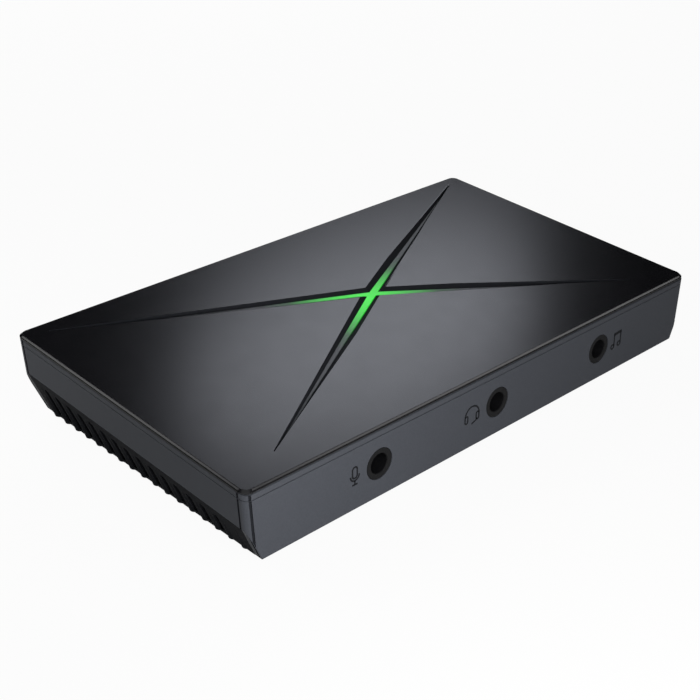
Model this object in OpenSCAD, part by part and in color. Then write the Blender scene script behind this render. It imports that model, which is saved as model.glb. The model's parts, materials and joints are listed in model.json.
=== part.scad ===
// Video capture box: a wedge-shaped desktop housing with an X-shaped light slot in its top panel,
// vented lower sides, three audio sockets in front and video and data sockets behind.
// Millimetres. X runs along the long side, the front face looks along -Y, the feet stand on z = 0.

/* [Body] */
// Width of the body along its top edge
body_w = 110; // [102:1:124]
// Depth of the body from front face to rear face
body_d = 60.8; // [58:0.2:72]
// Height of the front face
front_h = 13; // [12.6:0.2:15]
// Height of the rear face
rear_h = 16.6; // [16.2:0.2:19]
// Height of the plain band along each side
band_h = 7.3; // [6.4:0.1:8.2]
// Inward lean of the plain band over its height
band_lean = 0.45; // [0.25:0.05:1]
// Inward run of the vented slope for each millimetre of fall
vent_run = 0.42; // [0.32:0.01:0.54]
// Radius of the upright corners
corner_r = 1.6; // [1:0.05:2]

/* [Walls] */
// Thickness of the side walls
wall = 1.6; // [1.3:0.1:1.9]
// Thickness of the floor
floor_t = 1.4; // [1.3:0.1:1.7]
// Thickness of the front wall
front_t = 1.8; // [1.4:0.1:2.2]
// Thickness of the rear wall and of the rear panel
rear_t = 1.6; // [1.4:0.1:2]
// Part of the front and rear walls that covers the ends of the bottom case
edge_t = 1.6; // [1.3:0.05:1.8]
// Gap between neighbouring mouldings
seam = 0.12; // [0.08:0.01:0.2]

/* [Lid] */
// Thickness of the top panel
panel_t = 1.2; // [1.1:0.05:1.5]
// Thickness of the edge of the top panel, above the rim
flange_t = 0.55; // [0.5:0.05:0.7]
// Size of the bevel round the top panel
bevel = 0.4; // [0.2:0.05:0.45]
// Height of the rim that shows under the top panel
rim_h = 1.15; // [0.9:0.05:1.5]
// Width of the ledge that carries the edge of the top panel
ledge_w = 1.8; // [1.4:0.1:2.4]
// Size of the shadow groove between the top panel and the rim
groove = 0.25; // [0.15:0.05:0.35]
// Thickness of the plate under the top panel
ceiling_t = 1.2; // [1:0.1:1.4]
// Height of the skirt that locates the lid inside the walls
skirt_h = 1.6; // [1:0.1:1.8]
// Thickness of that skirt
skirt_t = 1.1; // [0.9:0.1:1.4]

/* [Light slot] */
// Offset of the crossing from the middle of the lid, along X
cross_x = 3; // [-6:0.5:6]
// Offset of the crossing from the middle of the lid, towards the rear
cross_y = 2.6; // [-4:0.2:4]
// Half width of the crossing along X
cross_half_x = 3.2; // [2.4:0.1:4]
// Half width of the crossing along Y
cross_half_y = 1.9; // [1.4:0.1:2.4]
// Half width of the diffuser strip along X, at the crossing
strip_half_x = 1.45; // [1:0.05:2]
// Half width of the diffuser strip along Y, at the crossing
strip_half_y = 0.85; // [0.6:0.05:1.2]
// Depth of the slot down to the diffuser strip
slot_depth = 0.5; // [0.3:0.05:0.6]
// Distance of the rear points of the slot from the sides
rear_tip_side = 4.7; // [4:0.1:14]
// Distance of the rear points of the slot from the rear edge
rear_tip_edge = 3.1; // [2.8:0.1:8]
// Distance of the front points of the slot from the sides
front_tip_side = 10.3; // [4:0.1:16]
// Distance of the front points of the slot from the front edge
front_tip_edge = 5.5; // [2.8:0.1:8]
// Width of the slot at its points
tip_w = 0.2; // [0.15:0.05:0.4]
// Thickness of the light pipe below the top panel
pipe_t = 0.6; // [0.5:0.05:0.8]
// Width by which the light pipe reaches past the strip on each side
pipe_margin = 1.6; // [1:0.1:2.2]
// Diameter of the stem that takes light from the lamp
stem_d = 4.4; // [3:0.2:6]

/* [Vents] */
// Distance of the first vent slot from the front face
vent_first = 8.5; // [7:0.1:12]
// Least distance of the last vent slot from the rear face
vent_last = 5.9; // [5:0.1:9]
// Distance between vent slots
vent_pitch = 3.3; // [3:0.1:4]
// Width of a vent slot
vent_slot = 1.4; // [1:0.1:1.6]
// Distance of the slots below the plain band
vent_top = 1.9; // [1.4:0.1:2.6]
// Height of the closed lip below the slots
vent_lip = 0.8; // [0.5:0.1:1.2]
// Radius of the rounded ribs between the slots
rib_r = 0.95; // [0.8:0.05:1.1]
// Lean of the ribs out of the slope, in degrees
rib_lean = 3; // [2:0.5:6]

/* [Feet and screws] */
// Height of the feet below the floor
foot_h = 0.8; // [0.5:0.1:1.5]
// Diameter of the feet
foot_d = 8; // [6:0.5:9]
// Depth of the recess that holds a foot
foot_recess = 0.7; // [0.5:0.1:0.8]
// Distance of the feet from the sides
foot_side = 21; // [19:0.5:26]
// Distance of the feet from the front and rear faces
foot_edge = 8; // [7:0.5:10]
// Distance of the case screws from the sides
screw_side = 11; // [10.5:0.5:12]
// Distance of the case screws from the front and rear faces
screw_edge = 7.5; // [7:0.5:9]
// Diameter of the case screws
screw_d = 2.4; // [2:0.1:2.6]
// Length of the case screws under the head
screw_l = 7; // [5:0.5:7.5]
// Diameter of the board screws
board_screw_d = 1.8; // [1.6:0.1:2]
// Length of the board screws under the head
board_screw_l = 3.2; // [2.8:0.1:3.4]

/* [Board] */
// Thickness of the main board
board_t = 1.2; // [1:0.1:1.6]
// Height of the pillars that carry the main board
pillar_h = 1.2; // [1:0.1:1.5]
// Gap between the main board and the walls
board_gap = 0.8; // [0.4:0.1:1.2]

/* [Audio sockets] */
// Distance between the audio sockets
jack_pitch = 28.2; // [20:0.2:30]
// Offset of the middle audio socket from the middle of the front face
jack_shift = 0.5; // [-2:0.1:2]
// Diameter of the plug hole
jack_bore = 3.6; // [3.5:0.05:3.7]
// Depth of the plug hole
jack_depth = 14; // [12:0.5:15]
// Diameter of the nozzle that shows in the front face
nozzle_d = 5.45; // [5:0.05:5.8]
// Distance of the nozzle's end behind the front face
nozzle_back = 0.05; // [0:0.05:0.4]
// Width of the socket housing
jack_w = 6.2; // [5.8:0.1:7]
// Height of the socket housing
jack_h = 5; // [4.8:0.1:5.4]
// Height of the plug hole above the board
jack_axis_h = 2.4; // [2.2:0.1:2.6]

/* [Rear sockets] */
// Distance between the rear sockets
port_pitch = 24; // [21:0.5:26]
// Distance of the sockets' mouths behind the rear face
port_back = 0.2; // [0:0.05:0.4]
// Width of a video socket's opening
video_w = 14; // [13.8:0.1:14.4]
// Height of a video socket's opening
video_h = 4.6; // [4.4:0.1:4.8]
// Length of a video socket
video_l = 11; // [10:0.5:11.5]
// Size of the cut-off lower corners of a video socket's opening
video_cut = 1.75; // [1.4:0.05:2]
// Width of the data socket's opening
data_w = 8.4; // [8.2:0.1:8.6]
// Height of the data socket's opening
data_h = 2.6; // [2.5:0.05:2.7]
// Length of the data socket
data_l = 7.6; // [7:0.2:8.6]
// Thickness of the metal shells
shell_t = 0.4; // [0.3:0.05:0.45]
// Width of the rear panel
rear_panel_w = 84; // [80:1:86]

/* [Heat sink] */
// Width of the heat sink
sink_w = 26; // [20:1:28]
// Depth of the heat sink
sink_d = 22; // [18:1:22]
// Number of fins
sink_fins = 8; // [4:1:10]
// Thickness of a fin
fin_t = 0.9; // [0.6:0.1:1.2]
// Thickness of the heat sink's base
sink_base = 1.6; // [1.2:0.1:2]
// Height of the fins
fin_h = 3.4; // [2:0.1:3.8]

/* [Hidden] */
$fn = 48;

// Body frame
base_z = foot_h;
front_y = -body_d / 2;
rear_y = body_d / 2;
slope = (rear_h - front_h) / body_d;
slope_a = atan(slope);
lid_l = body_d / cos(slope_a);
lean_k = band_lean / band_h;
lean_a = atan(lean_k);
vent_a = atan(vent_run);
reach = body_w + body_d;
tall = rear_h + foot_h;
deep = 3 * tall;
split_d = flange_t + rim_h;

// Set-back that keeps the lower edge of the top panel inside the body's depth
lid_trim = flange_t * tan(slope_a);

// The corner arcs start just inside the faces, at this share of their radius
corner_share = 0.99;

// Clearance of pieces that slide together, and overshoot of cuts past the faces that they open
fit = 0.1;
over = 1;

// Shares of the slot's arms that the strip, the light pipe and its rib reach
strip_share = 0.97;
pipe_share = 0.94;
rib_share = 0.93;

// Light pipe: width of its points, room round its plate, room round its stem, gap above the lamp
pipe_tip_w = 1.2;
pipe_gap = 0.2;
stem_gap = 0.3;
lamp_gap = 0.3;
lamp_h = 0.8;
lamp_side = 3;

// Board and socket heights
board_z = base_z + floor_t + pillar_h;
board_top = board_z + board_t;
jack_z = board_top + jack_axis_h;
jack_front = front_y + nozzle_back;
jack_body_y = front_y + front_t + fit;
jack_wall = 1;
jack_back = jack_front + jack_depth + jack_wall;
jack_xs = [jack_shift - jack_pitch, jack_shift, jack_shift + jack_pitch];
port_y = rear_y - port_back;
video_in_x = port_pitch;
video_out_x = 0;
data_x = -port_pitch;

// Board outline
rear_flange = 1;
board_end_gap = 0.3;
board_half = half_width(tall - board_z, wall) - board_gap;
board_front = front_y + front_t + board_end_gap;
board_rear = rear_y - rear_t - rear_flange - board_end_gap;

// Screw, foot and pillar places
screw_x = body_w / 2 - screw_side;
screw_y = body_d / 2 - screw_edge;
foot_x = body_w / 2 - foot_side;
foot_y = body_d / 2 - foot_edge;
boss_wall = 1.8;
boss_r = screw_d / 2 + boss_wall;
boss_gap = 0.4;
head_edge = 1;
head_gap = 0.2;
head_r = screw_d / 2 + head_edge;
head_h = 1.3;
sunk_h = 1.5;
pilot_spare = 0.8;
pillar_wall = 1.3;
pillar_r = board_screw_d / 2 + pillar_wall;
pillar_side = 5.5;
pillar_front = 10.5;
pillar_y = 4;
board_head_r = board_screw_d / 2 + head_edge;
board_head_h = 1.1;
board_tip_gap = 0.3;
pillar_places = [
    [jack_shift - jack_pitch / 2, front_y + pillar_front],
    [jack_shift + jack_pitch / 2, front_y + pillar_front],
    [pillar_side - board_half, pillar_y],
    [board_half - pillar_side, pillar_y]
];

// Rear opening and the lap of the panel behind its edges
panel_rise = 0.8;
panel_head = 2.2;
panel_low = base_z + floor_t + panel_rise;
panel_high = board_top + video_h + 2 * shell_t + panel_head;
panel_r = 1;
panel_lap = 0.8;
port_gap = 0.2;

// Large parts on the board: the heat sink stands beside the light pipe's stem
sink_gap = 7.8;
sink_y = 1.5;
sink_place = [cross_x - stem_d / 2 - sink_gap - sink_w / 2, sink_y];
processor_size = [17, 17];
processor_t = 1.4;
pad_t = 0.5;
receiver_y = 11;
receiver_place = [video_in_x, receiver_y];
receiver_size = [9, 9];
transmitter_y = 12;
transmitter_side = 8;
transmitter_place = [video_out_x + transmitter_side, transmitter_y];
transmitter_size = [7, 7];
bridge_edge = 13;
bridge_place = [data_x, rear_y - bridge_edge];
bridge_size = [8, 8];
port_chip_t = 1;
memory_places = [[17, -8], [17, 1.5]];
memory_size = [12, 8];
memory_t = 1.1;
codec_x = 2;
codec_gap = 2.2;
codec_size = [6, 6];
codec_place = [codec_x, jack_back + codec_gap + codec_size.y / 2];
codec_t = 0.9;

// Small parts on the board: the power row stands beside the heat sink
power_gap = 4;
power_x = sink_place.x - sink_w / 2 - power_gap;
flash_place = [32, -8];
flash_size = [5, 4];
flash_t = 1.5;
flash_leads = 4;
regulator_places = [[38, -5], [38, 9]];
regulator_size = [3, 1.7];
regulator_t = 1.1;
regulator_leads = 3;
crystal_places = [[31, -2.5], [31, 2.2]];
crystal_half = 2.4;
crystal_r = 1.6;
crystal_h = 1.6;
inductor_w = 4;
inductor_gap = 0.5;
input_coil_x = video_in_x + receiver_size.x / 2 + inductor_gap + inductor_w / 2;
inductor_places = [[power_x, 13.6], [power_x, 8.4], [input_coil_x, 9.5]];
inductor_cut = 0.7;
inductor_h = 2;
capacitor_places = [[power_x, -3], [power_x, -8.5], [1.5, 12]];
capacitor_r = 2.1;
capacitor_base = 0.8;
capacitor_h = 4.5;
capacitor_edge = 0.1;
crimp_deep = 0.2;
crimp_low = 1.2;
crimp_high = 1.5;

// Half width of the body at a depth below the top plane, inside walls of thickness t
function half_width(depth, t) = min(
    body_w / 2 - lean_k * depth - t / cos(lean_a),
    body_w / 2 - band_lean - vent_run * (depth - band_h) - t / cos(vent_a)
);

// Depth at which the plain band meets the vented slope, inside walls of thickness t
function bend_depth(t) = band_h - t * (1 / cos(vent_a) - 1 / cos(lean_a)) / (vent_run - lean_k);

// Points of the X slot, drawn in the lid plane: s is 0 at the diffuser strip and 1 at the lid surface
function cross_mid() = [cross_x, lid_l / 2 + cross_y];
function cross_tips() = [
    [body_w / 2 - rear_tip_side, lid_l - rear_tip_edge],
    [rear_tip_side - body_w / 2, lid_l - rear_tip_edge],
    [front_tip_side - body_w / 2, front_tip_edge],
    [body_w / 2 - front_tip_side, front_tip_edge]
];
function arm_l() = norm(cross_tips()[0] - cross_mid());
function cross_waists(hx, hy) = [[0, hy], [-hx, 0], [0, -hy], [hx, 0]];
function side_step(v, w) = [-v.y, v.x] / norm(v) * w / 2;
function cross_points(hx, hy, tip, length) = [
    for (i = [0 : 3])
        let (arm = (cross_tips()[i] - cross_mid()) * length, step = side_step(arm, tip))
            each [cross_mid() + arm - step, cross_mid() + arm + step, cross_mid() + cross_waists(hx, hy)[i]]
];
function mix(a, b, s) = a + (b - a) * s;
function slot_points(s) = cross_points(
    mix(strip_half_x, cross_half_x, s), mix(strip_half_y, cross_half_y, s),
    mix(tip_w / 2, tip_w, s), mix(strip_share, 1, s)
);

// The lid plane: x as in the body, y back from the front edge, z up from the lid surface
module lid_frame() {
    translate([0, front_y, base_z + front_h])
        rotate([slope_a, 0, 0])
            children();
}

// Everything between two depths below the lid surface
module layer(top, bottom) {
    lid_frame()
        translate([-reach / 2, -reach / 2, -bottom])
            cube([reach, 2 * reach, bottom - top]);
}

// Everything between two y values, above a height
module between(y0, y1, low) {
    translate([-reach / 2, y0, low])
        cube([reach, y1 - y0, deep]);
}

// Long prism with the section of the body, inside walls of thickness t
module section_prism(t) {
    bend = bend_depth(t);
    right = [[half_width(0, t), 0], [half_width(bend, t), -bend], [half_width(deep, t), -deep]];
    left = [for (i = [2 : -1 : 0]) [-right[i].x, right[i].y]];
    lid_frame()
        translate([0, lid_l / 2, 0])
            rotate([90, 0, 0])
                linear_extrude(2 * reach, center = true)
                    polygon(concat(right, left));
}

// Cuts that round the four upright corners along their lean
module corner_cuts() {
    centre = corner_share * corner_r;
    for (sx = [-1, 1], sy = [-1, 1])
        translate([sx * body_w / 2, sy * body_d / 2, base_z + (sy < 0 ? front_h : rear_h)])
            rotate([0, sx * lean_a, 0])
                linear_extrude(2 * tall, center = true)
                    difference() {
                        square(2 * centre, center = true);
                        translate([-sx * centre, -sy * centre])
                            circle(corner_r);
                    }
}

// Outer form of the whole body
module outer_form() {
    difference() {
        intersection() {
            section_prism(0);
            between(front_y, rear_y, base_z);
        }
        corner_cuts();
    }
}

// Rectangle with round corners
module round_rect(w, h, r) {
    square([w - 2 * r, h], center = true);
    square([w, h - 2 * r], center = true);
    for (x = [-1, 1], y = [-1, 1])
        translate([x * (w / 2 - r), y * (h / 2 - r)])
            circle(r);
}

// Plate in the lid plane, set in from the edges of the lid
module lid_plate(inset, top, bottom, r) {
    lid_frame()
        translate([0, lid_l / 2, -bottom])
            linear_extrude(bottom - top)
                round_rect(body_w - 2 * inset, lid_l - 2 * lid_trim - 2 * inset, r);
}

// Cut for the X slot: straight through the panel up to the strip, then widening to the lid surface
module slot_cut() {
    rise = 1.4;
    rings = [
        [for (p = slot_points(0)) [p.x, p.y, -panel_t - over]],
        [for (p = slot_points(0)) [p.x, p.y, -slot_depth]],
        [for (p = slot_points(rise)) [p.x, p.y, slot_depth * (rise - 1)]]
    ];
    n = len(rings[0]);
    top = n * (len(rings) - 1);
    walls = [
        for (r = [0 : len(rings) - 2], i = [0 : n - 1])
            let (a = r * n + i, b = r * n + (i + 1) % n)
                each [[a, a + n, b + n], [a, b + n, b]]
    ];
    lid_frame()
        polyhedron(
            points = [for (ring = rings) each ring],
            faces = concat([[for (i = [0 : n - 1]) i]], [[for (i = [n - 1 : -1 : 0]) top + i]], walls)
        );
}

// Straight-sided X in the lid plane
module cross_plate(points, top, bottom) {
    lid_frame()
        translate([0, 0, -bottom])
            linear_extrude(bottom - top)
                polygon(points);
}

module top_panel() {
    thin = 0.02;
    color("#1c1d20")
        difference() {
            union() {
                hull($fn = 32) {
                    lid_plate(0, bevel, flange_t, corner_r);
                    lid_plate(bevel, 0, thin, corner_r - bevel / 2);
                }
                lid_plate(ledge_w, bevel, panel_t, corner_r);
            }
            slot_cut();
        }
}

// Outline of the light pipe's plate, grown by a gap all round
function pipe_points(gap) = cross_points(
    strip_half_x + 2 * pipe_margin + 2 * gap, strip_half_y + pipe_margin + gap,
    pipe_tip_w + 2 * gap, pipe_share + gap / arm_l()
);

module light_pipe() {
    rib = cross_points(strip_half_x - 2 * fit, strip_half_y - fit, tip_w / 4, rib_share);
    stem_top = base_z + front_h + slope * (body_d / 2 + cross_y) - panel_t - pipe_t / 2;
    stem_low = board_top + lamp_h + lamp_gap;
    color("#9fe8a0", 0.8) {
        cross_plate(rib, slot_depth, panel_t + pipe_t / 2);
        cross_plate(pipe_points(0), panel_t, panel_t + pipe_t);
        translate([cross_x, cross_y, stem_low])
            cylinder(d = stem_d, h = stem_top - stem_low);
    }
}

// Inside of the lid's skirt
module skirt_room() {
    intersection() {
        section_prism(wall + seam + skirt_t);
        between(front_y + front_t + seam + skirt_t, rear_y - rear_t - seam - skirt_t, base_z);
        layer(panel_t + ceiling_t, deep);
    }
}

module upper_case() {
    boss_low = board_z;
    pilot = screw_l - (pillar_h + floor_t - sunk_h) + pilot_spare;
    color("#2b2d30")
        difference() {
            union() {
                difference() {
                    union() {
                        intersection() {
                            outer_form();
                            layer(flange_t, split_d);
                        }
                        intersection() {
                            section_prism(wall + seam);
                            between(front_y + front_t + seam, rear_y - rear_t - seam, base_z);
                            layer(split_d - groove, split_d + skirt_h);
                        }
                    }
                    skirt_room();
                    difference() {
                        layer(flange_t - over, flange_t + groove);
                        lid_plate(groove + lean_k * split_d, flange_t - 2 * over, flange_t + over, corner_r);
                    }
                }
                intersection() {
                    for (x = [-1, 1], y = [-1, 1])
                        translate([x * screw_x, y * screw_y, boss_low])
                            cylinder(r = boss_r, h = tall);
                    layer(panel_t + ceiling_t / 2, deep);
                }
            }
            lid_plate(ledge_w - seam, flange_t - over, panel_t, corner_r);
            cross_plate(pipe_points(pipe_gap), panel_t - over, panel_t + pipe_t + fit);
            translate([cross_x, cross_y, board_top])
                cylinder(d = stem_d + 2 * stem_gap, h = tall);
            for (x = [-1, 1], y = [-1, 1])
                translate([x * screw_x, y * screw_y, boss_low - over])
                    cylinder(d = screw_d + 2 * fit, h = pilot + over);
        }
}

// The tray that the bottom case is cut from, or with a gap, the room that it needs
module tray(gap) {
    difference() {
        intersection() {
            between(front_y + edge_t + seam - gap, rear_y - edge_t - seam + gap, base_z - over);
            layer(band_h + seam - gap, deep);
        }
        intersection() {
            section_prism(wall + gap);
            between(front_y - over, rear_y + over, base_z + floor_t + gap);
        }
    }
}

// Opening in the rear wall and, with a negative grow, the plate that fills it
module rear_opening(grow, y0, y1) {
    translate([0, y1, (panel_low + panel_high) / 2])
        rotate([90, 0, 0])
            linear_extrude(y1 - y0)
                round_rect(rear_panel_w + 2 * grow, panel_high - panel_low + 2 * grow, panel_r);
}

module case_body() {
    color("#33353a")
        difference() {
            intersection() {
                outer_form();
                layer(split_d + seam, deep);
            }
            intersection() {
                section_prism(wall);
                between(front_y + front_t, rear_y - rear_t, base_z - over);
            }
            tray(seam);
            for (x = jack_xs)
                translate([x, front_y - over, jack_z])
                    rotate([-90, 0, 0])
                        cylinder(d = nozzle_d + 2 * fit, h = front_t + 2 * over);
            rear_opening(0, rear_y - rear_t - over, rear_y + over);
        }
}

// Outline of a video socket's opening, grown by a wall; its lower corners are cut off
function video_outline(grow) =
    let (
        half = video_w / 2,
        turn = grow * tan(45 / 2),
        right = [
            [half + grow, video_h + grow],
            [half + grow, video_cut - turn],
            [half - video_cut + turn, -grow]
        ]
    )
        concat(right, [for (i = [2 : -1 : 0]) [-right[i].x, right[i].y]]);

// Outline of the data socket's opening, grown by a wall
module data_outline(grow) {
    r = data_h / 2 + grow;
    half = (data_w - data_h) / 2;
    square([2 * half, 2 * r], center = true);
    for (x = [-1, 1])
        translate([x * half, 0])
            circle(r);
}

// Sockets stand with their mouths towards +Y: x across, y up, running forward from the mouth
module port_frame(x, z, y) {
    translate([x, y, z])
        rotate([90, 0, 0])
            children();
}

video_z = board_top + shell_t;
data_z = board_top + shell_t + data_h / 2;

module rear_panel() {
    through = rear_t + rear_flange + 2 * over;
    color("#2b2d30")
        difference() {
            union() {
                rear_opening(-seam, rear_y - rear_t - seam, rear_y - port_back / 2);
                rear_opening(panel_lap, rear_y - rear_t - rear_flange, rear_y - rear_t - seam);
            }
            for (x = [video_in_x, video_out_x])
                port_frame(x, video_z, rear_y + over)
                    linear_extrude(through)
                        polygon(video_outline(shell_t + port_gap));
            port_frame(data_x, data_z, rear_y + over)
                linear_extrude(through)
                    data_outline(shell_t + port_gap);
        }
}

// Places children on the vented slope: z runs up the slope to the plain band, x points outwards
module on_slope(side, y) {
    lid_frame()
        translate([side * (body_w / 2 - band_lean), y, -band_h])
            rotate([0, side * vent_a, 0])
                scale([side, 1, 1])
                    children();
}

vent_count = floor((body_d - vent_first - vent_last) / vent_pitch) + 1;
vent_l = 2 * tall;
vent_cut = 0.5;

module vent_ribs() {
    intersection() {
        for (side = [-1, 1], i = [-1 : vent_count])
            on_slope(side, vent_first + (i - 0.5) * vent_pitch)
                translate([-rib_r, 0, -vent_top])
                    rotate([0, 180 - rib_lean, 0])
                        cylinder(r = rib_r, h = vent_l, $fn = 24);
        between(front_y, rear_y, base_z);
        layer(band_h + vent_top / 2, deep);
    }
}

module vent_slots() {
    intersection() {
        for (side = [-1, 1], i = [0 : vent_count - 1])
            on_slope(side, vent_first + i * vent_pitch)
                translate([-wall - vent_cut, 0, -vent_top - vent_slot / 2]) {
                    rotate([0, 90, 0])
                        cylinder(d = vent_slot, h = 2 * (wall + vent_cut), $fn = 24);
                    translate([0, -vent_slot / 2, -vent_l])
                        cube([2 * (wall + vent_cut), vent_slot, vent_l]);
                }
        between(front_y, rear_y, base_z + vent_lip);
    }
}

module bottom_case() {
    color("#26282b")
        difference() {
            union() {
                intersection() {
                    outer_form();
                    tray(0);
                }
                difference() {
                    vent_ribs();
                    intersection() {
                        section_prism(wall);
                        between(front_y - over, rear_y + over, base_z + floor_t);
                    }
                }
                for (x = [-1, 1], y = [-1, 1])
                    translate([x * screw_x, y * screw_y, base_z])
                        cylinder(r = boss_r, h = floor_t + pillar_h);
                for (p = pillar_places)
                    translate([p.x, p.y, base_z])
                        cylinder(r = pillar_r, h = floor_t + pillar_h);
            }
            vent_slots();
            for (x = [-1, 1], y = [-1, 1]) {
                translate([x * screw_x, y * screw_y, base_z - over])
                    cylinder(r = head_r + head_gap, h = sunk_h + over);
                translate([x * screw_x, y * screw_y, base_z])
                    cylinder(d = screw_d + 2 * fit, h = tall);
                translate([x * foot_x, y * foot_y, base_z - over])
                    cylinder(d = foot_d + 2 * fit, h = foot_recess + over);
            }
            for (p = pillar_places)
                translate([p.x, p.y, board_top - board_screw_l - board_tip_gap])
                    cylinder(d = board_screw_d + 2 * fit, h = tall);
        }
}

// Rubber foot with a rounded lower edge
module foot(sx, sy) {
    r = foot_d / 2;
    soft = 0.35;
    top = foot_h + foot_recess;
    color("#17181a")
        translate([sx * foot_x, sy * foot_y, 0])
            rotate_extrude() {
                translate([0, soft])
                    square([r, top - soft]);
                square([r - soft, top]);
                translate([r - soft, soft])
                    circle(soft);
            }
}

module foot_front_left() foot(-1, -1);
module foot_front_right() foot(1, -1);
module foot_rear_left() foot(-1, 1);
module foot_rear_right() foot(1, 1);

// Pan-head screw with a cross recess: the head sits on z = 0 and the shank runs along -Z
module pan_screw(d, l, hr, hh) {
    edge_h = 0.6 * hh;
    crown_r = 0.8 * hr;
    recess_l = 1.2 * hr;
    recess_w = 0.3 * d;
    recess_z = 0.4 * hh;
    difference() {
        rotate_extrude() {
            translate([0, -l])
                square([d / 2, l + hh / 2]);
            square([hr, edge_h]);
            square([crown_r, hh]);
        }
        for (a = [0, 90])
            rotate([0, 0, a])
                translate([-recess_l / 2, -recess_w / 2, recess_z])
                    cube([recess_l, recess_w, hh]);
    }
}

module case_screws() {
    color("#8f9296")
        for (x = [-1, 1], y = [-1, 1])
            translate([x * screw_x, y * screw_y, base_z + sunk_h])
                rotate([180, 0, 0])
                    pan_screw(screw_d, screw_l, head_r, head_h);
}

module board_screws() {
    color("#a6a8ab")
        for (p = pillar_places)
            translate([p.x, p.y, board_top])
                pan_screw(board_screw_d, board_screw_l, board_head_r, board_head_h);
}

module main_board() {
    color("#1d5b3a")
        difference() {
            translate([-board_half, board_front, board_z])
                cube([2 * board_half, board_rear - board_front, board_t]);
            for (x = [-1, 1], y = [-1, 1])
                translate([x * screw_x, y * screw_y, board_z - over])
                    cylinder(r = boss_r + boss_gap, h = board_t + 2 * over);
            for (p = pillar_places)
                translate([p.x, p.y, board_z - over])
                    cylinder(d = board_screw_d + 3 * fit, h = board_t + 2 * over);
        }
}

// Contact places of an audio socket: side of the housing, and depth behind the nozzle's end
contact_places = [[1, 4.2], [-1, 7.4], [1, 10.6]];
strip_w = 1.6;
strip_t = 0.3;
strip_up = 0.8;
strip_foot = 1.2;
strip_fit = 0.05;
nub = 1;
nub_gap = 0.15;

// Housing of an audio socket, with its plug hole and a window for each contact
module jack_housing(x) {
    lead_in = 0.12;
    color("#1b1c1e")
        difference() {
            union() {
                translate([x - jack_w / 2, jack_body_y, board_top])
                    cube([jack_w, jack_back - jack_body_y, jack_h]);
                translate([x, jack_front, jack_z])
                    rotate([-90, 0, 0])
                        cylinder(d = nozzle_d, h = jack_body_y - jack_front);
            }
            translate([x, jack_front, jack_z])
                rotate([-90, 0, 0]) {
                    translate([0, 0, -over])
                        cylinder(d = jack_bore, h = jack_depth + over);
                    translate([0, 0, -lead_in])
                        cylinder(d1 = jack_bore + 4 * lead_in, d2 = jack_bore, h = 2 * lead_in);
                }
            for (c = contact_places)
                translate([x, jack_front + c.y, jack_z])
                    scale([c.x, 1, 1]) {
                        translate([jack_w / 2 - strip_t - strip_fit, -strip_w / 2 - fit, -jack_axis_h - over])
                            cube([over, strip_w + 2 * fit, jack_axis_h + over + nub]);
                        translate([jack_bore / 4, -nub / 2 - fit, -nub / 2 - fit])
                            cube([jack_w / 2, nub + 2 * fit, nub + 2 * fit]);
                    }
        }
}

// Spring strips of an audio socket, with a foot on the board and a nub beside the plug hole
module jack_contacts(x) {
    nub_x = jack_bore / 2 + nub_gap;
    outer = jack_w / 2;
    color("#c9a24a")
        for (c = contact_places)
            translate([x, jack_front + c.y, jack_z])
                scale([c.x, 1, 1]) {
                    translate([outer - strip_t, -strip_w / 2, -jack_axis_h])
                        cube([strip_t, strip_w, jack_axis_h + strip_up]);
                    translate([outer - strip_t, -strip_w / 2, -jack_axis_h])
                        cube([strip_t + strip_foot, strip_w, strip_t]);
                    translate([nub_x, -nub / 2, -nub / 2])
                        cube([outer - nub_x, nub, nub]);
                }
}

module mic_jack() jack_housing(jack_xs[0]);
module headset_jack() jack_housing(jack_xs[1]);
module line_jack() jack_housing(jack_xs[2]);
module mic_contacts() jack_contacts(jack_xs[0]);
module headset_contacts() jack_contacts(jack_xs[1]);
module line_contacts() jack_contacts(jack_xs[2]);

// Video socket: a folded metal shell, an insulator with a tongue, and two rows of contacts
tongue_back = 4.5;
tongue_w = 11.2;
tongue_t = 1.3;
tongue_rise = 0.3;
tongue_z = video_h / 2 + tongue_rise;
tongue_l = 5;
tongue_fit = 0.05;
video_pins = [10, 9];
video_pin_pitch = 1;
video_pin_w = 0.5;
video_pin_t = 0.12;
video_pin_back = 0.4;

module video_shell(x) {
    color("#c3c5c8")
        port_frame(x, video_z, port_y)
            linear_extrude(video_l)
                difference() {
                    polygon(video_outline(shell_t));
                    polygon(video_outline(0));
                }
}

module video_tongue(x) {
    color("#141517")
        port_frame(x, video_z, port_y) {
            translate([0, 0, video_l - tongue_back])
                linear_extrude(tongue_back)
                    polygon(video_outline(-tongue_fit));
            translate([-tongue_w / 2, tongue_z - tongue_t / 2, video_l - tongue_back - tongue_l])
                cube([tongue_w, tongue_t, tongue_l + over]);
        }
}

// Rows of contact strips on the two faces of a tongue
module contact_rows(counts, pitch, w, t, l, half_t) {
    for (row = [0, 1], i = [0 : counts[row] - 1])
        translate([(i - (counts[row] - 1) / 2) * pitch - w / 2, row == 0 ? half_t : -half_t - t, 0])
            cube([w, t, l]);
}

module video_contacts(x) {
    color("#d0a94f")
        port_frame(x, video_z, port_y)
            translate([0, tongue_z, video_l - tongue_back - tongue_l + video_pin_back])
                contact_rows(
                    video_pins, video_pin_pitch, video_pin_w, video_pin_t,
                    tongue_l - video_pin_back, tongue_t / 2
                );
}

module video_in_shell() video_shell(video_in_x);
module video_in_tongue() video_tongue(video_in_x);
module video_in_contacts() video_contacts(video_in_x);
module video_out_shell() video_shell(video_out_x);
module video_out_tongue() video_tongue(video_out_x);
module video_out_contacts() video_contacts(video_out_x);

// Data socket: a seamless oval shell with a thin central tongue
blade_back = 2.4;
blade_w = 6.7;
blade_t = 0.7;
blade_l = 4.4;
data_pins = [12, 12];
data_pin_pitch = 0.5;
data_pin_w = 0.28;
data_pin_t = 0.1;
data_pin_back = 0.5;

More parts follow.
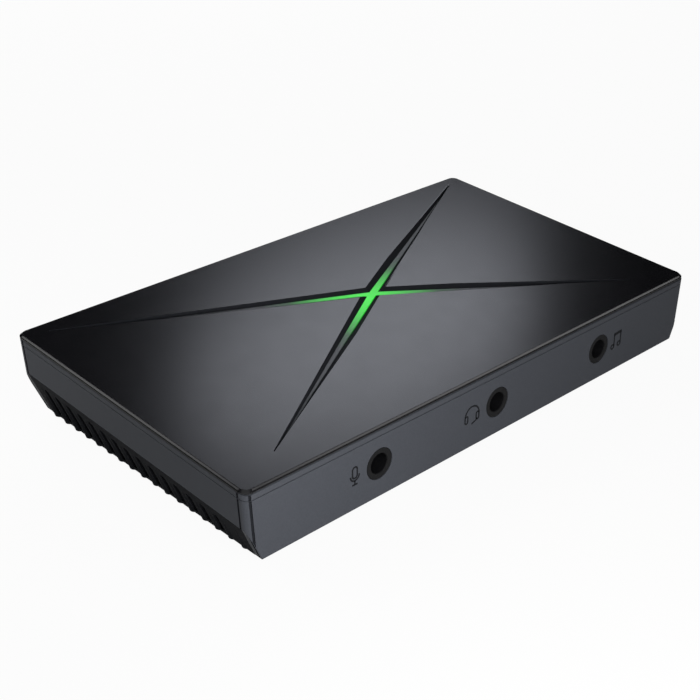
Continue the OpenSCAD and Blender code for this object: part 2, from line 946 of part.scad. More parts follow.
module data_port_shell() {
    color("#c3c5c8")
        port_frame(data_x, data_z, port_y)
            linear_extrude(data_l)
                difference() {
                    data_outline(shell_t);
                    data_outline(0);
                }
}

module data_port_tongue() {
    color("#141517")
        port_frame(data_x, data_z, port_y) {
            translate([0, 0, data_l - blade_back])
                linear_extrude(blade_back)
                    data_outline(-tongue_fit);
            translate([-blade_w / 2, -blade_t / 2, data_l - blade_back - blade_l])
                cube([blade_w, blade_t, blade_l + over]);
        }
}

module data_port_contacts() {
    color("#d0a94f")
        port_frame(data_x, data_z, port_y)
            translate([0, 0, data_l - blade_back - blade_l + data_pin_back])
                contact_rows(
                    data_pins, data_pin_pitch, data_pin_w, data_pin_t,
                    blade_l - data_pin_back, blade_t / 2
                );
}

// Flat chip package with a pin-one dimple, standing on the board
module chip(place, size, t) {
    dimple = 0.8;
    dimple_in = 1.2;
    dimple_deep = 0.1;
    translate([place.x, place.y, board_top])
        difference() {
            translate([-size.x / 2, -size.y / 2, 0])
                cube([size.x, size.y, t]);
            translate([dimple_in - size.x / 2, size.y / 2 - dimple_in, t - dimple_deep])
                cylinder(d = dimple, h = over);
        }
}

// Package with gull-wing leads along two sides
module leaded_chip(place, size, t, leads) {
    lead_w = 0.4;
    lead_t = 0.2;
    lead_l = 1;
    root = 0.1;
    shoulder = 0.4;
    pitch = size.x / leads;
    side_y = size.y / 2;
    profile = [
        [side_y - root, t / 2], [side_y + shoulder, t / 2],
        [side_y + shoulder + lead_t, lead_t], [side_y + lead_l, lead_t],
        [side_y + lead_l, 0], [side_y + shoulder, 0],
        [side_y + shoulder - lead_t, t / 2 - lead_t], [side_y - root, t / 2 - lead_t]
    ];
    chip(place, size, t);
    for (side = [-1, 1], i = [0 : leads - 1])
        translate([place.x + (i - (leads - 1) / 2) * pitch - lead_w / 2, place.y, board_top])
            scale([1, side, 1])
                rotate([90, 0, 90])
                    linear_extrude(lead_w)
                        polygon(profile);
}

module video_processor() {
    color("#202124")
        chip(sink_place, processor_size, processor_t);
}

module thermal_pad() {
    corner = sink_place - processor_size / 2;
    color("#8fa7b8")
        translate([corner.x, corner.y, board_top + processor_t])
            cube([processor_size.x, processor_size.y, pad_t]);
}

module heat_sink() {
    fin_step = (sink_w - fin_t) / (sink_fins - 1);
    color("#b9bcc0")
        translate([sink_place.x - sink_w / 2, sink_place.y - sink_d / 2, board_top + processor_t + pad_t]) {
            cube([sink_w, sink_d, sink_base]);
            for (i = [0 : sink_fins - 1])
                translate([i * fin_step, 0, 0])
                    cube([fin_t, sink_d, sink_base + fin_h]);
        }
}

module video_receiver() {
    color("#202124")
        chip(receiver_place, receiver_size, port_chip_t);
}

module video_transmitter() {
    color("#202124")
        chip(transmitter_place, transmitter_size, port_chip_t);
}

module data_bridge() {
    color("#202124")
        chip(bridge_place, bridge_size, port_chip_t);
}

module memory_chips() {
    color("#1a1b1d")
        for (p = memory_places)
            chip(p, memory_size, memory_t);
}

module audio_codec() {
    color("#202124")
        chip(codec_place, codec_size, codec_t);
}

module flash_memory() {
    color("#1a1b1d")
        leaded_chip(flash_place, flash_size, flash_t, flash_leads);
}

module regulators() {
    color("#1a1b1d")
        for (p = regulator_places)
            leaded_chip(p, regulator_size, regulator_t, regulator_leads);
}

// Low metal can with round ends
module crystals() {
    color("#c3c5c8")
        for (p = crystal_places)
            translate([p.x, p.y, board_top])
                linear_extrude(crystal_h) {
                    square([2 * crystal_half, 2 * crystal_r], center = true);
                    for (x = [-1, 1])
                        translate([x * crystal_half, 0])
                            circle(crystal_r);
                }
}

// Moulded power inductor with cut corners
module inductors() {
    color("#3a3b3d")
        for (p = inductor_places)
            translate([p.x, p.y, board_top])
                linear_extrude(inductor_h)
                    intersection() {
                        square(inductor_w, center = true);
                        rotate(45)
                            square(inductor_w * sqrt(2) - 2 * inductor_cut, center = true);
                    }
}

// Aluminium can capacitor on a square base, with a crimp above the base
module capacitors() {
    can_r = capacitor_r - capacitor_edge;
    color("#b4b7bb")
        for (p = capacitor_places)
            translate([p.x, p.y, board_top]) {
                translate([-capacitor_r, -capacitor_r, 0])
                    cube([2 * capacitor_r, 2 * capacitor_r, capacitor_base]);
                rotate_extrude() {
                    square([can_r, crimp_low]);
                    square([can_r - crimp_deep, capacitor_h]);
                    translate([0, crimp_high])
                        square([can_r, capacitor_h - crimp_high]);
                }
            }
}

// Lamp under the light pipe's stem, with a round well for its chip
module status_led() {
    well_d = 2.4;
    well_deep = 0.2;
    color("#e8f5e6")
        translate([cross_x, cross_y, board_top])
            difference() {
                translate([-lamp_side / 2, -lamp_side / 2, 0])
                    cube([lamp_side, lamp_side, lamp_h]);
                translate([0, 0, lamp_h - well_deep])
                    cylinder(d = well_d, h = over);
            }
}

top_panel();
light_pipe();
upper_case();
case_body();
rear_panel();
bottom_case();
foot_front_left();
foot_front_right();
foot_rear_left();
foot_rear_right();
case_screws();
board_screws();
main_board();
mic_jack();
headset_jack();
line_jack();
mic_contacts();
headset_contacts();
line_contacts();
video_in_shell();
video_in_tongue();
video_in_contacts();
video_out_shell();
video_out_tongue();
video_out_contacts();
data_port_shell();
data_port_tongue();
data_port_contacts();
video_processor();
thermal_pad();
heat_sink();
video_receiver();
video_transmitter();
data_bridge();
memory_chips();
audio_codec();
flash_memory();
crystals();
inductors();
capacitors();
regulators();
status_led();
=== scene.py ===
# %% [markdown]
# # A wedge-shaped video capture box
# The solids of this box come from CAD at their real size, already in place, in metres. This lesson gives
# them their looks: rounded moulded edges, printed signs, finishes, studio light and the camera.
# Nothing here moves or resizes a solid, so a piece that is added goes exactly where the frame says.

# %% Load the frame
import json
import math

import bmesh
import bpy
from mathutils import Matrix, Vector


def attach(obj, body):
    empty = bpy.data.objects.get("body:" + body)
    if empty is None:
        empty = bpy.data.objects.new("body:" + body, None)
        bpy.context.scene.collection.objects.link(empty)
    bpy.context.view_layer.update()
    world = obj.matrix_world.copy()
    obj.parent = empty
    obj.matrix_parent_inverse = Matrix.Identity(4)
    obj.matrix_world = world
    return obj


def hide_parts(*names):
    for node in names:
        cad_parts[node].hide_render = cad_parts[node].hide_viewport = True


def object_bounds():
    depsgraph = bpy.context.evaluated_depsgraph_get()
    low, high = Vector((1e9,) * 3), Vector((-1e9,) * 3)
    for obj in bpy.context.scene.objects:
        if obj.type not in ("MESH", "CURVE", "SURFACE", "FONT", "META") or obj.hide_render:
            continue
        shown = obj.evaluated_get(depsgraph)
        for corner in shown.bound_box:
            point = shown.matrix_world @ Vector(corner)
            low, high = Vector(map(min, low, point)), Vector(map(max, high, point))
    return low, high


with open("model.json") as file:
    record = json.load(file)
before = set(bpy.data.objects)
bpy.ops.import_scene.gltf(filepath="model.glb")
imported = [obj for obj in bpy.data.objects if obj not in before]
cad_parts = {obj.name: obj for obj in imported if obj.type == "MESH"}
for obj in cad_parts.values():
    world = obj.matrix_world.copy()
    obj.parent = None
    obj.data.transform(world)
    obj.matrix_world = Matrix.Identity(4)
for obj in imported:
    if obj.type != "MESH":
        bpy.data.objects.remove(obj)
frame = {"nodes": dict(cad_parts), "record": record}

MM = 0.001
cad_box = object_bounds()
box_size = [round((high - low) / MM, 2) for low, high in zip(*cad_box)]
print("frame loaded:", len(frame["nodes"]), "nodes, box in mm", box_size)

# %% [markdown]
# Colours are easiest to pick as sRGB hex values, but shaders work in linear light, so one function turns
# the first into the second. A second helper adds a shader node with its options, its fixed values and its
# links in one call, which keeps every finish below down to a few readable lines.


# %% Colour and node helpers
def linear(hex_colour):
    """Linear RGBA of an sRGB hex colour."""
    parts = [int(hex_colour[i : i + 2], 16) / 255 for i in (1, 3, 5)]
    return [c / 12.92 if c <= 0.04045 else ((c + 0.055) / 1.055) ** 2.4 for c in parts] + [1.0]


def add(tree, kind, values=None, links=None, **options):
    """One shader node: options are its own settings, values fill sockets, links feed them."""
    node = tree.nodes.new("ShaderNode" + kind)
    for name, option in options.items():
        setattr(node, name, option)
    for socket, value in (values or {}).items():
        node.inputs[socket].default_value = value
    for socket, source in (links or {}).items():
        tree.links.new(source, node.inputs[socket])
    return node


print("a mid grey in linear light:", round(linear("#808080")[0], 3))

# %% [markdown]
# Most finishes on this box share one idea: a surface texture that was cut into the mould or left by the
# rolling mill. It could be three unrelated patterns, but on a real part the same bumps change the colour a
# little, scatter the gloss a little and tilt the surface a little. So one noise drives all three, at a
# scale given in millimetres. Fixed numbers are set on the shader's own sockets.


# %% A finish with its grain
GRAIN_DETAIL = 3.0
NOISE_LOW, NOISE_HIGH = 0.3, 0.7


def start_finish(name, **values):
    """A new material: its tree, its shader with the fixed values set, and the Object coordinates."""
    finish = bpy.data.materials.new(name)
    finish.use_nodes = True
    tree = finish.node_tree
    shader = tree.nodes["Principled BSDF"]
    for socket, value in values.items():
        shader.inputs[socket.replace("_", " ")].default_value = value
    place = add(tree, "TexCoord").outputs["Object"]
    return finish, tree, shader, place


def grain(tree, shader, place, size_mm, colours, roughness, height_mm, stretch=(1, 1, 1)):
    """Grain of one size that shades the colour, the gloss and the slope of a surface together."""
    stretched = add(tree, "Mapping", {"Scale": stretch}, {"Vector": place})
    fineness = {"Scale": 1 / (size_mm * MM), "Detail": GRAIN_DETAIL}
    noise = add(tree, "TexNoise", fineness, {"Vector": stretched.outputs[0]})
    colour = add(tree, "ValToRGB", links={"Fac": noise.outputs["Fac"]})
    for element, where, hex_colour in zip(colour.color_ramp.elements, (NOISE_LOW, NOISE_HIGH), colours):
        element.position = where
        element.color = linear(hex_colour)
    span = {1: NOISE_LOW, 2: NOISE_HIGH, 3: roughness[0], 4: roughness[1]}
    gloss = add(tree, "MapRange", span, {0: noise.outputs["Fac"]})
    bump = add(tree, "Bump", {"Strength": 1.0, "Distance": height_mm * MM}, {"Height": noise.outputs["Fac"]})
    tree.links.new(colour.outputs["Color"], shader.inputs["Base Color"])
    tree.links.new(gloss.outputs["Result"], shader.inputs["Roughness"])
    tree.links.new(bump.outputs["Normal"], shader.inputs["Normal"])
    return colour


FINISHES = {}
print("noise from", NOISE_LOW, "to", NOISE_HIGH, "spans each grain")

# %% [markdown]
# The lid is ABS from a polished mould under a clear lacquer. It is almost black: what the eye reads as grey
# is a soft lamp mirrored in the lacquer. Lacquer settles with a faint orange peel a few millimetres across,
# so the grain is wide and very shallow.

# %% Lacquered lid
finish, tree, shader, place = start_finish("gloss_lacquered_abs", IOR=1.5)
grain(tree, shader, place, 4.0, ("#09090b", "#0b0b0d"), (0.205, 0.22), 0.0002)
FINISHES["lid_gloss"] = finish
print("made", finish.name)

# %% [markdown]
# The walls are charcoal ABS from a spark-eroded mould, which leaves a fine satin grain. The real pits are
# about 0.1 mm wide and too fine to show at this distance, so they are drawn three times as coarse.

# %% Satin walls
finish, tree, shader, place = start_finish("spark_textured_abs", IOR=1.46, Specular_IOR_Level=0.15)
grain(tree, shader, place, 0.3, ("#35373c", "#3a3c41"), (0.46, 0.54), 0.006)
FINISHES["case_satin"] = finish
print("made", finish.name)

# %% [markdown]
# The bottom case is a separate moulding in black ABS with the same kind of texture, drawn as coarse as on
# the walls. It is darker and duller, so the vented slopes drop back and their slots read as black.

# %% Black bottom case
finish, tree, shader, place = start_finish("black_moulded_abs", IOR=1.46, Specular_IOR_Level=0.02)
grain(tree, shader, place, 0.3, ("#191a1d", "#1d1e21"), (0.55, 0.65), 0.005)
FINISHES["vent_satin"] = finish
print("made", finish.name)

# %% [markdown]
# The strip in the slot is milky polycarbonate, lit from below by one lamp under the crossing. The light
# leaks out along the arms and dies away, so the glow is a colour ramp over the distance from its brightest
# point. The far ends stay unlit and read as plain grey plastic.

# %% Edge-lit light pipe
GLOW_CENTRE = (0.6 * MM, 2.0 * MM, 15.5 * MM)
GLOW_REACH = 19 * MM
finish, tree, shader, place = start_finish(
    "edge_lit_polycarbonate", IOR=1.58, Specular_IOR_Level=0.25, Emission_Strength=1.0
)
grain(tree, shader, place, 0.8, ("#3c3e41", "#46484b"), (0.32, 0.4), 0.002)
far = add(tree, "VectorMath", {1: GLOW_CENTRE}, {0: place}, operation="DISTANCE")
share = add(tree, "MapRange", {1: 0.0, 2: GLOW_REACH, 3: 0.0, 4: 1.0}, {0: far.outputs["Value"]})
glow = add(tree, "ValToRGB", links={"Fac": share.outputs["Result"]})
for where, hex_colour in ((0.25, "#1fcc24"), (0.5, "#189a20"), (0.75, "#083a0c")):
    glow.color_ramp.elements.new(where).color = linear(hex_colour)
glow.color_ramp.elements[0].color = linear("#2ae030")
glow.color_ramp.elements[-1].color = linear("#000000")
tree.links.new(glow.outputs["Color"], shader.inputs["Emission Color"])
FINISHES["light_diffuser"] = finish
print("made", finish.name, "with", len(glow.color_ramp.elements), "steps of glow")

# %% [markdown]
# The feet are moulded rubber: matt, dark and slightly uneven, with a sheen only at grazing angles. A rough
# black plastic would look too hard, so the shader's own sheen is turned up a little.

# %% Rubber feet
finish, tree, shader, place = start_finish("moulded_rubber", IOR=1.5, Sheen_Weight=0.15)
grain(tree, shader, place, 0.25, ("#111112", "#191a1b"), (0.75, 0.9), 0.01)
FINISHES["foot_rubber"] = finish
print("made", finish.name)

# %% [markdown]
# Screws are zinc-plated steel, bluish and a little cloudy. The socket shells are folded from nickel-plated
# strip, whose rolling lines run along the sheet, so their noise is stretched along the depth of the box.
# The contacts are brass under a thin gold flash, warm and bright. The heat sink and the small cans are
# plain aluminium with lines left by the die. All five differ only in numbers, so one loop makes them.

# %% Metals
METALS = {
    "screw_steel": ("zinc_plated_steel", 0.5, ("#9a9da2", "#b4b7bb"), (0.3, 0.42), 0.002, (1, 1, 1)),
    "shell_steel": ("nickel_plated_strip", 0.2, ("#b5b4b0", "#c9c8c3"), (0.22, 0.34), 0.002, (1, 0.05, 1)),
    "contact_gold": ("gold_flashed_brass", 0.2, ("#d7a94b", "#e6bf66"), (0.2, 0.3), 0.001, (1, 0.2, 1)),
    "sink_aluminium": ("extruded_aluminium", 0.3, ("#a9abae", "#c2c4c6"), (0.34, 0.46), 0.003, (1, 0.04, 1)),
    "can_aluminium": ("drawn_aluminium", 0.3, ("#b8babd", "#cfd1d3"), (0.25, 0.36), 0.002, (1, 1, 0.2)),
}
for slot, (name, size_mm, colours, roughness, height_mm, stretch) in METALS.items():
    finish, tree, shader, place = start_finish(name, Metallic=1.0)
    grain(tree, shader, place, size_mm, colours, roughness, height_mm, stretch)
    FINISHES[slot] = finish
print("made", len(METALS), "metals")

# %% [markdown]
# The other plastics and the parts on the board: glass-filled nylon in the sockets, dull with a faint
# speckle, epoxy round the chips, a little greyer, a chalky silicone pad, rough pressed ferrite, and the
# milky resin of the lamp. A second loop makes these.

# %% Plastics, epoxy and ferrite
PLASTICS = {
    "socket_black": ("glass_filled_nylon", 0.4, ("#08080a", "#0d0d0e"), (0.5, 0.62), 0.006),
    "chip_black": ("moulded_epoxy", 0.2, ("#17181a", "#1f2022"), (0.5, 0.62), 0.004),
    "pad_grey": ("silicone_gap_pad", 0.5, ("#8597a6", "#93a6b4"), (0.7, 0.85), 0.01),
    "ferrite_grey": ("pressed_ferrite", 0.2, ("#2e2f31", "#3d3e40"), (0.55, 0.7), 0.008),
    "lamp_white": ("white_lamp_resin", 0.6, ("#dfe6da", "#eef3ea"), (0.3, 0.4), 0.002),
}
for slot, (name, size_mm, colours, roughness, height_mm) in PLASTICS.items():
    finish, tree, shader, place = start_finish(name, IOR=1.5, Specular_IOR_Level=0.25)
    grain(tree, shader, place, size_mm, colours, roughness, height_mm)
    FINISHES[slot] = finish
print("made", len(PLASTICS), "plastics")

# %% [markdown]
# The main board is glass-epoxy laminate under green solder resist. Copper tracks lie under the resist and
# show as slightly lighter lines. Real tracks could be modelled, but they are hidden inside, where a brick
# pattern of 2 mm cells does well enough.

# %% Board under solder resist
TRACK_CELL = 2.0 * MM
finish, tree, shader, place = start_finish("solder_resist", IOR=1.5)
colour = grain(tree, shader, place, 1.5, ("#0d4a2c", "#115635"), (0.3, 0.4), 0.002)
tracks = add(
    tree, "TexBrick",
    {"Scale": 1 / TRACK_CELL, "Mortar Size": 0.08, "Brick Width": 1.0, "Row Height": 0.5},
    {"Vector": place, "Color1": colour.outputs["Color"], "Color2": colour.outputs["Color"]},
)
tracks.inputs["Mortar"].default_value = linear("#2c7a4d")
tree.links.new(tracks.outputs["Color"], shader.inputs["Base Color"])
FINISHES["board_green"] = finish
print("made", finish.name)

# %% [markdown]
# Every node of the frame names its finish in the record, so one loop dresses them all. Finishes set by hand
# would look the same, but could drift from the record later.

# %% Dress the nodes
slot_of = {part["node"]: part["material_slot"] for part in frame["record"]["subparts"]}
for node, solid in frame["nodes"].items():
    solid.data.materials.clear()
    solid.data.materials.append(FINISHES[slot_of[node]])
print("dressed", len(slot_of), "nodes with", len(FINISHES), "finishes")

# %% [markdown]
# CAD edges are perfectly sharp, but no moulding is: its edges are eased by a tenth of a millimetre or two
# and catch a thin line of light. A Bevel modifier could do it on the node itself, yet the node's triangles
# are loose and must stay as they are. So four visible mouldings are copied, and each copy is merged into
# whole faces that a bevel can work on.


# %% Copies that can be bevelled
MERGE = 0.002 * MM
FLAT_ANGLE = 0.02


def merged_copy(node):
    """A bmesh of a CAD node with its triangles joined into whole flat faces."""
    bm = bmesh.new()
    bm.from_mesh(frame["nodes"][node].data)
    bmesh.ops.remove_doubles(bm, verts=bm.verts, dist=MERGE)
    bmesh.ops.dissolve_limit(bm, angle_limit=FLAT_ANGLE, verts=bm.verts, edges=bm.edges)
    return bm


MOULDINGS = ("top_panel", "upper_case", "case_body", "rear_panel")
copies = {node: merged_copy(node) for node in MOULDINGS}
print("faces:", {node: len(bm.faces) for node, bm in copies.items()})

# %% [markdown]
# Only the outer, convex edges are eased. The lid gets the largest radius: its chamfer keeps a narrow flat
# that mirrors a lamp as a fine line, and both of its sides roll off into the dark.

# %% Eased edges
LEAST_LENGTH = 0.8 * MM
LEAST_ANGLE = math.radians(30)
SKIN = 0.75 * MM
EASE_MM = {"top_panel": 0.18, "upper_case": 0.1, "case_body": 0.15, "rear_panel": 0.12}
EASE_STEPS = 3
low, high = cad_box


def is_outer(node, edge):
    """True on the lid and the rim, and elsewhere near the front, the rear or the bottom of the body."""
    middle = (edge.verts[0].co + edge.verts[1].co) / 2
    on_skin = middle.y < low.y + SKIN or middle.y > high.y - SKIN or middle.z < low.z + 2 * SKIN
    return on_skin or node in ("top_panel", "upper_case")


for node, bm in copies.items():
    edges = [e for e in bm.edges if len(e.link_faces) == 2 and e.is_convex and is_outer(node, e)]
    edges = [e for e in edges if e.calc_length() > LEAST_LENGTH and e.calc_face_angle() > LEAST_ANGLE]
    bmesh.ops.bevel(
        bm, geom=edges, offset=EASE_MM[node] * MM, offset_type="OFFSET", segments=EASE_STEPS, profile=0.5,
        affect="EDGES", material=-1, clamp_overlap=False,
    )
    print("eased", len(edges), "edges of", node)

# %% [markdown]
# Lacquer is sprayed on from above and hardly reaches the walls of the slot in the lid. They stay bare and
# dull, and look black beside the glowing strip. A second lid-coloured plastic would do, but the black finish
# of the bottom case is the same bare ABS, so the wall faces of the copy get that.

# %% Bare walls of the slot
BARE_ABS_AND_SHADE_SLOT = 1
LID_MARGIN = 3 * MM
STEEP = 0.97
walls = 0
for face in copies["top_panel"].faces:
    middle = face.calc_center_median()
    inside = abs(middle.x) < high.x - LID_MARGIN and abs(middle.y) < high.y - LID_MARGIN
    if inside and face.normal.z < STEEP:
        face.material_index = BARE_ABS_AND_SHADE_SLOT
        walls += 1
print("bare faces in the lid:", walls)

# %% [markdown]
# Each upright corner is a rounded pillar between two fine dark lines, and a third line follows the edge of
# the vented slope. The lines stand in for dark reflections along the edges of the rounded corner and the
# slope, so they are painted shade. Printing them would be simpler, but a line that is cut into the wall
# holds its shadow under any light. So two cuts are made across the outer faces, the strip between them is
# set back, and the strip and its walls get the black finish. That finish paints them darker than the shallow
# cut would shade them.


# %% Dark lines at the corners, painted shade
SIDE_INSET, FRONT_INSET = 1.85 * MM, 0.95 * MM
BAND_HIGH = 7.3 * MM
BAND_LEAN = 0.45 * MM / BAND_HIGH
SLOPE_RUN = 0.42
LINE_HALF = 0.2 * MM
SLOPE_INSET = 2 * LINE_HALF
LINE_DEEP = 0.15 * MM
LINE_EDGE = 0.03 * MM
NEAR = 0.8 * MM
# Faces look the same way when the cosine between them is above this.
ALIKE = 0.88
# The front line lies on the rounding itself, turned this far from the front.
PILLAR_TURN = math.radians(26.8)
# Height of the lid's edge above the table, in front and behind.
LID_HEIGHT = {-1: 13.8 * MM, 1: 17.4 * MM}


def cut_line(bm, looks, place, across):
    """A sunk strip in the outer faces that look about one way, through a place, square to a direction,
    painted dark as shade.
    """

    def outer():
        seen = [f for f in bm.faces if f.normal.dot(looks) > ALIKE]
        return [f for f in seen if min(abs((v.co - place).dot(looks)) for v in f.verts) < NEAR]

    for side in (-LINE_HALF, LINE_HALF):
        whole = list({part for f in outer() for part in (f, *f.edges, *f.verts)})
        bmesh.ops.bisect_plane(bm, geom=whole, plane_co=place + across * side, plane_no=across)
    strip = [f for f in outer() if abs((f.calc_center_median() - place).dot(across)) < LINE_HALF]
    made = bmesh.ops.inset_region(bm, faces=strip, thickness=LINE_EDGE, depth=-LINE_DEEP)
    # The black finish on the strip and its walls is painted shade.
    for face in strip + made["faces"]:
        face.material_index = BARE_ABS_AND_SHADE_SLOT
    return len(strip)


CORNERS = [(sx, sy) for sx in (-1, 1) for sy in (-1, 1)]
ALONG_DEPTH = Vector((0, 1, 0))
for sx, sy in CORNERS:
    corner = Vector((sx * high.x, sy * high.y, LID_HEIGHT[sy]))
    leaning = Vector((1, 0, -sx * BAND_LEAN)).normalized()
    rounded = Vector((sx * math.sin(PILLAR_TURN), sy * math.cos(PILLAR_TURN), 0))
    sideways = Vector((sx, 0, 0))
    sloped = Vector((sx, 0, -SLOPE_RUN)).normalized()
    slope_top = corner - Vector((sx * BAND_LEAN * BAND_HIGH, sy * SLOPE_INSET, BAND_HIGH))
    for node in ("upper_case", "case_body"):
        cuts = cut_line(copies[node], rounded, corner - sideways * FRONT_INSET, leaning)
        cuts += cut_line(copies[node], sideways, corner - ALONG_DEPTH * sy * SIDE_INSET, ALONG_DEPTH)
        if node == "case_body":
            cuts += cut_line(copies[node], sloped, slope_top, ALONG_DEPTH)
        print("corner", (sx, sy), node, "sunk", cuts, "faces")

# %% [markdown]
# The copies are shaded smooth, but only where two narrow faces meet: those are the eased edges and the
# rounded corners. Every wide face keeps its own flat shading, so no broad face looks dented. Each copy then
# stands for its node.

# %% Dressed copies
NARROW = 0.6 * MM
SMOOTH_ANGLE = math.radians(30)


def new_object(name, bm):
    """An object at the origin, linked to the scene, with its place in its mesh."""
    mesh = bpy.data.meshes.new(name)
    bm.to_mesh(mesh)
    bm.free()
    made = bpy.data.objects.new(name, mesh)
    bpy.context.scene.collection.objects.link(made)
    return made


def is_narrow(face):
    """True for a strip: its area over half its outline is its width."""
    return face.calc_area() / (face.calc_perimeter() / 2) < NARROW


for node, bm in copies.items():
    for face in bm.faces:
        face.smooth = True
    for edge in bm.edges:
        rolls_off = edge.calc_face_angle(math.pi) < SMOOTH_ANGLE
        edge.smooth = rolls_off and all(is_narrow(f) for f in edge.link_faces)
    piece = new_object("eased_" + node, bm)
    piece.data.materials.append(FINISHES[slot_of[node]])
    piece.data.materials.append(FINISHES["vent_satin"])
    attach(piece, "root")
    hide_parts(node)
    print(piece.name, len(piece.data.polygons), "faces")

# %% [markdown]
# Small line drawings beside the audio sockets say what plugs in where. They are screen-printed: ink pressed
# through a fine mesh, a few hundredths of a millimetre thick, matt and slightly uneven. A texture could hold
# them, but as thin solids they stay crisp at any distance. A pen draws each stroke: the pen is a short edge,
# and spinning that edge along a line or an arc leaves a ribbon of even width.

# %% Ink and pen
finish, tree, shader, place = start_finish("screen_printed_ink", IOR=1.5, Specular_IOR_Level=0.2)
# The mesh of the screen leaves dots about 0.1 mm apart.
grain(tree, shader, place, 0.1, ("#0d0e10", "#16171a"), (0.6, 0.75), 0.002)
ink = finish

PEN_WIDTH = 0.3
INK_HIGH = 0.04
INK_SUNK = 0.01
DEGREES_A_STEP = 15


class Pen:
    """Draws one flat stroke in the XY plane, in millimetres and degrees."""

    def __init__(self, bm, at, heading, width=PEN_WIDTH):
        self.bm, self.at, self.heading = bm, Vector((*at, 0)), math.radians(heading)
        ends = [bm.verts.new(self.at + self.left() * side * width / 2) for side in (-1, 1)]
        self.tip = [*ends, bm.edges.new(ends)]

    def left(self):
        return Vector((-math.sin(self.heading), math.cos(self.heading), 0))

    def sweep(self, centre, turn, slide, steps):
        turned = bmesh.ops.spin(
            self.bm, geom=self.tip, cent=centre, axis=(0, 0, 1), dvec=slide, angle=turn, steps=steps,
            use_merge=math.isclose(abs(turn), math.tau),
        )
        self.tip = turned["geom_last"]

    def line(self, length):
        slide = Vector((math.cos(self.heading), math.sin(self.heading), 0)) * length
        self.sweep(self.at, 0.0, slide, 1)
        self.at = self.at + slide
        return self

    def arc(self, radius, degrees):
        turn = math.radians(degrees)
        centre = self.at + self.left() * math.copysign(radius, degrees)
        self.sweep(centre, turn, (0, 0, 0), max(2, round(abs(degrees) / DEGREES_A_STEP)))
        self.at = centre + Matrix.Rotation(turn, 3, "Z") @ (self.at - centre)
        self.heading += turn
        return self

    def loop(self, length, radius):
        return self.line(length).arc(radius, -180).line(length).arc(radius, -180)


print("made", ink.name)

# %% [markdown]
# Three plain, common signs: a microphone, a headset and a pair of notes. They could be cut from plates, but
# strokes of one pen keep their lines alike. Each is drawn about its own middle and then stood upright on
# the front face beside its socket.


# %% Printed signs
def microphone(bm):
    Pen(bm, (-0.52, 0.1), 90).loop(1.0, 0.52)
    Pen(bm, (-0.95, 0.1), -90).arc(0.95, 180)
    Pen(bm, (0, -0.85), -90).line(0.7)
    Pen(bm, (-0.55, -1.58), 0).line(1.1)


def headset(bm):
    Pen(bm, (-1.72, -0.1), 90).arc(1.72, -180)
    for x in (-1.72, 1.06):
        Pen(bm, (x, -0.95), 90).loop(0.75, 0.33)
    Pen(bm, (1.3, -1.1), -130).arc(1.6, -35).line(0.6)


def notes(bm):
    for x, foot in ((-0.5, -1.2), (1.4, -1.05)):
        Pen(bm, (x, foot), 90).arc(0.42, 360)
        Pen(bm, (x, foot + 0.05), 90).line(2.45)
    Pen(bm, (-0.65, 1.2), 4.5, width=0.55).line(2.2)


SIGN_HEIGHT = 7.1
SAME_POINT = 0.01
SIGNS = {
    "microphone_sign": (microphone, -33.1),
    "headset_sign": (headset, -5.9),
    "notes_sign": (notes, 33.9),
}
for name, (draw, x) in SIGNS.items():
    bm = bmesh.new()
    draw(bm)
    bmesh.ops.remove_doubles(bm, verts=bm.verts, dist=SAME_POINT)
    bmesh.ops.recalc_face_normals(bm, faces=bm.faces)
    bmesh.ops.solidify(bm, geom=bm.faces[:], thickness=INK_HIGH)
    bmesh.ops.recalc_face_normals(bm, faces=bm.faces)
    lowest = min(v.co.z for v in bm.verts)
    on_front = Matrix.Translation((x * MM, low.y, SIGN_HEIGHT * MM))
    upright = Matrix.Rotation(math.radians(90), 4, "X") @ Matrix.Scale(MM, 4)
    seated = Matrix.Translation((0, 0, -lowest - INK_SUNK))
    bmesh.ops.transform(bm, matrix=on_front @ upright @ seated, verts=bm.verts)
    sign = new_object(name, bm)
    sign.data.materials.append(ink)
    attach(sign, "root")
    print(name, [round(side / MM, 2) for side in sign.dimensions])

# %% [markdown]
# The floor is a plain pale sheet. To the camera it is mixed almost all the way to white, and in mirror-like
# reflections a little, so the background stays even while a faint shadow under the box remains. The sky
# is white where it is seen, half as bright in reflections, and dimmer still where it only lights the box.

# %% Floor and sky
FLOOR_SIDE = 6.0
FLOOR_DROP = 0.02 * MM
SEEN_WHITE = 0.95
MIRRORED_WHITE = 0.12
SKY_LIGHT = 0.22
MIRRORED_SKY = 0.5


def seen_share(tree, seen, mirrored):
    """A factor for rays that show the background: one share for camera rays, one for mirrored rays."""
    path = add(tree, "LightPath")
    glossy, through = path.outputs["Is Glossy Ray"], path.outputs["Is Transmission Ray"]
    bounced = add(tree, "Math", {}, {0: glossy, 1: through}, operation="MAXIMUM").outputs[0]
    bounced = add(tree, "Math", {1: mirrored}, {0: bounced}, operation="MULTIPLY").outputs[0]
    camera_ray = path.outputs["Is Camera Ray"]
    direct = add(tree, "Math", {1: seen}, {0: camera_ray}, operation="MULTIPLY").outputs[0]
    return add(tree, "Math", {}, {0: direct, 1: bounced}, operation="MAXIMUM").outputs[0]


bm = bmesh.new()
bmesh.ops.create_grid(bm, x_segments=1, y_segments=1, size=FLOOR_SIDE / 2)
bmesh.ops.translate(bm, verts=bm.verts, vec=(0, 0, -FLOOR_DROP))
floor = new_object("floor", bm)
finish, tree, shader, _ = start_finish("pale_floor", Roughness=0.9, Base_Color=linear("#a0a09e"))
white = add(tree, "Emission", {"Color": (1, 1, 1, 1), "Strength": 1.0})
whiteness = seen_share(tree, SEEN_WHITE, MIRRORED_WHITE)
mixed = add(tree, "MixShader", {}, {0: whiteness, 1: shader.outputs[0], 2: white.outputs[0]})
tree.links.new(mixed.outputs[0], tree.nodes["Material Output"].inputs["Surface"])
floor.data.materials.append(finish)

